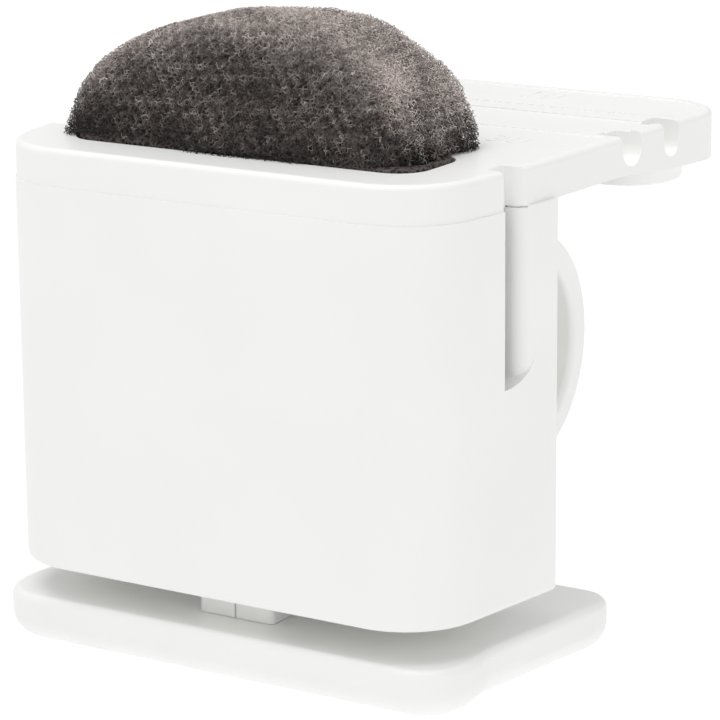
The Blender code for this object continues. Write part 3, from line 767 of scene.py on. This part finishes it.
def make_foam_core(dark):
    """The block under the net: the plug in the socket and a head a little smaller than the net."""
    shape = bmesh.new()
    turns = [math.radians(angle) for angle in range(-88, 89, 4)]
    rings = [[shape.verts.new(point) for point in head_ring(turn, NET_DEPTH)] for turn in turns]
    for ring, following in zip(rings, rings[1:]):
        for i in range(len(ring)):
            j = (i + 1) % len(ring)
            shape.faces.new([ring[i], ring[j], following[j], following[i]])
    shape.faces.new(list(reversed(rings[0])))
    shape.faces.new(rings[-1])
    core = new_object("foam_block", shape)
    half, front, rear, radius = SOCKET
    gap = SOCKET_CLEARANCE
    plug_outline = rounded_box(half - gap, front + gap, rear - gap, radius - gap)
    plug = prism("plug", plug_outline, FOAM_BOTTOM + 0.05, DECK_TOP + 0.15)
    combine(core, plug, "UNION")
    remesh = core.modifiers.new("even", "REMESH")
    remesh.mode = "VOXEL"
    remesh.voxel_size = CORE_GRAIN * MM
    settle(core)
    smooth = core.modifiers.new("round", "SMOOTH")
    smooth.iterations = 6
    settle(core)
    mesh = core.data
    places = np.empty(len(mesh.vertices) * 3)
    mesh.vertices.foreach_get("co", places)
    places = places.reshape(-1, 3)
    normals = np.array([vertex.normal for vertex in mesh.vertices], float)
    local = places / MM - [0, FRONT, 0]
    rng = np.random.default_rng(5)
    above = local[:, 2] > DECK_TOP + 0.3
    lift = np.where(above, swell(local) - FRINGE_DEPTH * fringe(normals), 0.0)
    lift += rng.uniform(-0.09, 0.05, len(local))
    mesh.vertices.foreach_set("co", (places + normals * lift[:, None] * MM).ravel())
    mesh.update()
    mesh.shade_smooth()
    finish_piece(core, "foam", "foam", dark, "foam_insert")
    return core


# ---------------------------------------------------------------- materials

def node_material(name, colour, roughness):
    """A material with its node tree and its shader."""
    material = bpy.data.materials.new(name)
    material.use_nodes = True
    tree = material.node_tree
    shader = tree.nodes["Principled BSDF"]
    shader.inputs["Base Color"].default_value = (*colour, 1.0)
    shader.inputs["Roughness"].default_value = roughness
    return material, tree, shader


def noise_node(tree, scale, detail=2.0, roughness=0.5):
    """Noise in the object's own coordinates, with scale in waves a metre."""
    coordinates = tree.nodes.new("ShaderNodeTexCoord")
    noise = tree.nodes.new("ShaderNodeTexNoise")
    noise.inputs["Scale"].default_value = scale
    noise.inputs["Detail"].default_value = detail
    noise.inputs["Roughness"].default_value = roughness
    tree.links.new(coordinates.outputs["Object"], noise.inputs["Vector"])
    return noise


def ramp_between(tree, source, low, high, low_at=0.35, high_at=0.65):
    """A colour ramp from the low colour to the high one, between two values of the source."""
    ramp = tree.nodes.new("ShaderNodeValToRGB")
    ramp.color_ramp.elements[0].position = low_at
    ramp.color_ramp.elements[1].position = high_at
    ramp.color_ramp.elements[0].color = (*low, 1.0)
    ramp.color_ramp.elements[1].color = (*high, 1.0)
    tree.links.new(source, ramp.inputs["Fac"])
    return ramp


def bump_node(tree, shader, source, strength, distance, before=None):
    """A bump from the source, on top of an earlier bump if there is one."""
    bump = tree.nodes.new("ShaderNodeBump")
    bump.inputs["Strength"].default_value = strength
    bump.inputs["Distance"].default_value = distance
    tree.links.new(source, bump.inputs["Height"])
    if before is not None:
        tree.links.new(before.outputs["Normal"], bump.inputs["Normal"])
    tree.links.new(bump.outputs["Normal"], shader.inputs["Normal"])
    return bump


def moulded_plastic(name, colour, roughness):
    """Satin white moulding: faint flow clouds, a fine spark-eroded grain and slow waviness."""
    material, tree, shader = node_material(name, colour, roughness)
    clouds = noise_node(tree, 90.0, 3.0)
    paler = [min(1.0, value * 1.012) for value in colour]
    duller = [value * 0.985 for value in colour]
    ramp = ramp_between(tree, clouds.outputs["Fac"], duller, paler, 0.3, 0.7)
    tree.links.new(ramp.outputs["Color"], shader.inputs["Base Color"])
    grain = noise_node(tree, 2600.0, 2.0, 0.6)
    gloss = tree.nodes.new("ShaderNodeMapRange")
    gloss.inputs["To Min"].default_value = roughness - 0.05
    gloss.inputs["To Max"].default_value = roughness + 0.07
    tree.links.new(grain.outputs["Fac"], gloss.inputs["Value"])
    tree.links.new(gloss.outputs["Result"], shader.inputs["Roughness"])
    waves = noise_node(tree, 55.0, 1.0)
    slow = bump_node(tree, shader, waves.outputs["Fac"], 0.35, 0.00012)
    bump_node(tree, shader, grain.outputs["Fac"], 0.12, 0.00001, slow)
    shader.inputs["IOR"].default_value = 1.49
    return material


def foam_core_material():
    """Dark cell pits with paler walls between them, as painted shade down in the cells and painted light on
    their walls; what faces up, away from the deck, is paler as painted light from above.
    """
    material, tree, shader = node_material("foam_cells", (0.03, 0.027, 0.026), 0.95)
    coordinates = tree.nodes.new("ShaderNodeTexCoord")
    cells = tree.nodes.new("ShaderNodeTexVoronoi")
    cells.feature = "DISTANCE_TO_EDGE"
    cells.inputs["Scale"].default_value = 2300.0
    tree.links.new(coordinates.outputs["Object"], cells.inputs["Vector"])
    edge = cells.outputs["Distance"]
    # Painted light on the cell walls and painted shade in the pits.
    walls = ramp_between(tree, edge, (0.11, 0.093, 0.085), (0.014, 0.011, 0.010), 0.02, 0.24)
    # Paler tones for what faces up: painted light from above.
    painted_top_light = ramp_between(tree, edge, (0.36, 0.315, 0.29), (0.09, 0.078, 0.072), 0.02, 0.3)
    split = tree.nodes.new("ShaderNodeSeparateXYZ")
    tree.links.new(coordinates.outputs["Normal"], split.inputs["Vector"])
    facing = tree.nodes.new("ShaderNodeMapRange")
    facing.inputs["From Min"].default_value = 0.1
    facing.inputs["From Max"].default_value = 0.95
    tree.links.new(split.outputs["Z"], facing.inputs["Value"])
    place = tree.nodes.new("ShaderNodeSeparateXYZ")
    tree.links.new(coordinates.outputs["Object"], place.inputs["Vector"])
    height = tree.nodes.new("ShaderNodeMapRange")
    height.inputs["From Min"].default_value = (DECK_TOP + 0.6) * MM
    height.inputs["From Max"].default_value = (DECK_TOP + 2.0) * MM
    tree.links.new(place.outputs["Z"], height.inputs["Value"])
    # The painted light from above fades out close to the deck, leaving painted shade there.
    top_light_share = tree.nodes.new("ShaderNodeMath")
    top_light_share.operation = "MULTIPLY"
    tree.links.new(facing.outputs["Result"], top_light_share.inputs[0])
    tree.links.new(height.outputs["Result"], top_light_share.inputs[1])
    mix = tree.nodes.new("ShaderNodeMix")
    mix.data_type = "RGBA"
    tree.links.new(top_light_share.outputs["Value"], mix.inputs["Factor"])
    tree.links.new(walls.outputs["Color"], mix.inputs["A"])
    tree.links.new(painted_top_light.outputs["Color"], mix.inputs["B"])
    tree.links.new(mix.outputs["Result"], shader.inputs["Base Color"])
    bump_node(tree, shader, edge, 0.9, 0.00025)
    return material


def foam_tones():
    """Near greys for the struts, so that the net isn't one flat colour; the paler ones carry the foam's
    painted light and the darker ones its painted shade, mixed with chance.
    """
    made = []
    for name, grey in (("black", 0.05), ("dark", 0.14), ("middle", 0.30), ("pale", 0.50), ("bright", 0.78)):
        material, _, shader = node_material("foam_strut_" + name, (grey, grey * 0.89, grey * 0.84), 0.85)
        shader.inputs["Specular IOR Level"].default_value = 0.15
        made.append(material)
    return made


def brushed_steel(name):
    """Plain steel with a fine uneven polish."""
    material, tree, shader = node_material(name, (0.62, 0.62, 0.63), 0.3)
    shader.inputs["Metallic"].default_value = 1.0
    streaks = noise_node(tree, 1400.0, 3.0)
    ramp = ramp_between(tree, streaks.outputs["Fac"], (0.55, 0.55, 0.56), (0.68, 0.68, 0.69))
    tree.links.new(ramp.outputs["Color"], shader.inputs["Base Color"])
    bump_node(tree, shader, streaks.outputs["Fac"], 0.2, 0.00001)
    return material


def floor_material():
    """A floor that glows white by itself, so that it stays white under the object."""
    material, tree, shader = node_material("floor_white", (0.04, 0.04, 0.04), 0.9)
    speckle = noise_node(tree, 30.0)
    ramp = ramp_between(tree, speckle.outputs["Fac"], (0.035, 0.035, 0.035), (0.045, 0.045, 0.045))
    tree.links.new(ramp.outputs["Color"], shader.inputs["Base Color"])
    shader.inputs["Emission Color"].default_value = (1.0, 1.0, 1.0, 1.0)
    shader.inputs["Emission Strength"].default_value = FLOOR_GLOW
    return material


# ---------------------------------------------------------------- studio

def place_camera():
    """A long lens in front of the object's right corner and a little above it."""
    x, y, height = CAMERA_PLACE
    turn, tilt, roll = (math.radians(value) for value in CAMERA_TURN)
    right = Vector((math.cos(turn), math.sin(turn), 0.0))
    up = Vector((-math.sin(turn) * math.sin(tilt), math.cos(turn) * math.sin(tilt), math.cos(tilt)))
    back = Vector((math.sin(turn) * math.cos(tilt), -math.cos(turn) * math.cos(tilt), math.sin(tilt)))
    rolled_right = right * math.cos(roll) + up * math.sin(roll)
    rolled_up = up * math.cos(roll) - right * math.sin(roll)
    camera = bpy.data.objects.new("camera", bpy.data.cameras.new("camera"))
    camera.data.lens = CAMERA_LENS
    camera.data.sensor_width = 36.0
    camera.data.clip_start = 0.01
    rotation = Matrix((rolled_right, rolled_up, back)).transposed().to_4x4()
    camera.matrix_world = Matrix.Translation(at(x, y, DECK_TOP + height)) @ rotation
    bpy.context.scene.collection.objects.link(camera)
    bpy.context.scene.camera = camera


def soft_box(name, place, aim, size, power):
    """An area light at a place, turned to an aim point, both in metres."""
    light = bpy.data.lights.new(name, "AREA")
    light.shape = "RECTANGLE"
    light.size, light.size_y = size
    light.energy = power
    made = bpy.data.objects.new(name, light)
    made.location = place
    made.rotation_euler = (Vector(aim) - Vector(place)).to_track_quat("-Z", "Y").to_euler()
    bpy.context.scene.collection.objects.link(made)


def make_studio():
    """The floor, an even white sky and two soft lights."""
    shape = bmesh.new()
    bmesh.ops.create_grid(shape, x_segments=1, y_segments=1, size=3.0)
    floor = new_object("floor", shape)
    floor.data.materials.append(floor_material())
    world = bpy.data.worlds.new("studio")
    bpy.context.scene.world = world
    world.use_nodes = True
    sky = world.node_tree.nodes["Background"]
    sky.inputs["Color"].default_value = (1.0, 1.0, 1.0, 1.0)
    sky.inputs["Strength"].default_value = SKY
    soft_box("top_box", (-0.08, -0.06, 0.5), (0.0, 0.0, 0.03), (0.4, 0.4), 1.25)
    soft_box("front_box", (0.4, -0.33, 0.2), (0.0, 0.0, 0.02), (0.4, 0.3), 0.25)
    bpy.context.scene.view_settings.view_transform = "Standard"


def main():
    """Builds everything; the clip and the screw keep their CAD shapes and only get a steel material."""
    place_camera()
    make_studio()
    white = moulded_plastic("white_moulding", (0.925, 0.925, 0.91), 0.36)
    make_cup(white)
    make_deck(white)
    make_numerals(white)
    make_foot(white)
    make_post(white)
    make_ring(white)
    make_foam_core(foam_core_material())
    make_foam_net(foam_tones())
    steel = brushed_steel("steel")
    for node in ("ring_clip", "foot_screw"):
        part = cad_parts[node]
        part.data.materials.clear()
        part.data.materials.append(steel)


main()
bpy.context.view_layer.update()
